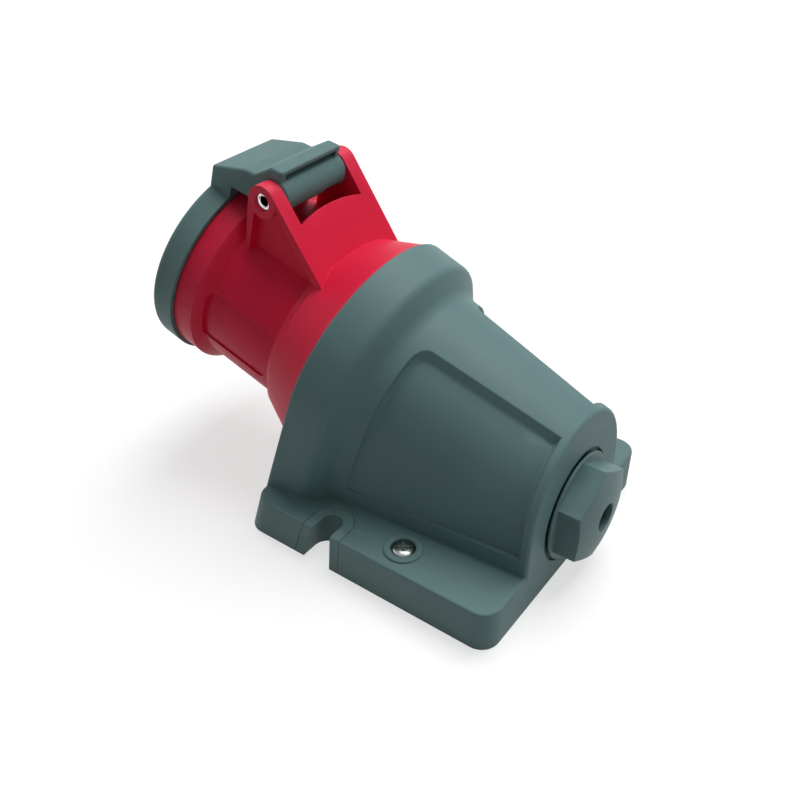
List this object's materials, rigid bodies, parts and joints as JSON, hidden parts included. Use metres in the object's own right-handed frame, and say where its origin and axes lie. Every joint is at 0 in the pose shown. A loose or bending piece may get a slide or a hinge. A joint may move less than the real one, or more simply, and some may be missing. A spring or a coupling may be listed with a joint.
{
  "type": "pin and sleeve receptacle",
  "caption": "Wall-mounted angled pin and sleeve power receptacle with a sprung lid on a red sleeve, a grey tapered housing with a slotted foot and a cable gland at the rear.",
  "frame": {"origin": "on the wall plane, midway between the round ends of the two fixing slots", "axes": "+Z out of the wall, +X towards the cable gland, the socket opens towards -X and upwards, mirror plane of the outside at y = 0"},
  "size_m": [0.1829, 0.1112, 0.1271],
  "materials": {
    "cover_grey": "moulded, lightly textured",
    "plate_grey": "moulded, lightly textured",
    "lid_grey": "moulded, lightly textured",
    "gland_grey": "moulded, satin",
    "socket_red": "moulded, satin",
    "insulator": "moulded",
    "pin_steel": "turned, bright",
    "screw_steel": "stainless",
    "spring_steel": "drawn wire",
    "contact_brass": "turned",
    "seal_rubber": "moulded",
    "gland_rubber": "moulded"
  },
  "bodies": {
    "receptacle": {"housing_cover": "cover_grey", "wall_plate": "plate_grey", "cover_seal": "seal_rubber", "cover_screws": "screw_steel", "socket_body": "socket_red", "socket_seal": "seal_rubber", "socket_screws": "screw_steel", "hinge_pin": "pin_steel", "contact_carrier": "insulator", "terminal_carrier": "insulator", "carrier_screw": "screw_steel", "carrier_clip": "spring_steel", "contact_springs": "spring_steel", "terminal_screws": "screw_steel", "lid_spring": "spring_steel", "gland_seal": "gland_rubber", "contact_earth": "contact_brass", "contact_l1": "contact_brass", "contact_l2": "contact_brass", "contact_l3": "contact_brass", "contact_neutral": "contact_brass"},
    "lid": {"lid": "lid_grey", "lid_gasket": "seal_rubber"},
    "gland_slider": {"gland_thrust_ring": "gland_grey"},
    "gland_turner": {"gland_nut": "gland_grey"}
  },
  "joints": [
    {"name": "lid_hinge", "type": "hinge", "parent": "receptacle", "child": "lid", "pos_m": [-0.04741, 0, 0.11704], "axis": [0, 1, 0], "range_deg": [0, 105], "stiffness_Nm_per_rad": 0.03, "springref_deg": -114.59, "deforming": ["lid_spring"]},
    {"name": "gland_travel", "type": "slide", "parent": "receptacle", "child": "gland_slider", "axis": [1, 0, 0], "range_m": [0, 0.0045]},
    {"name": "gland_turn", "type": "hinge", "parent": "gland_slider", "child": "gland_turner", "pos_m": [0.075, 0, 0.0266], "axis": [1, 0, 0], "range_deg": [0, 1080]}
  ],
  "couplings": [
    {"joint": "gland_travel", "follows": "gland_turn", "m_per_rad": 0.00023873}
  ]
}
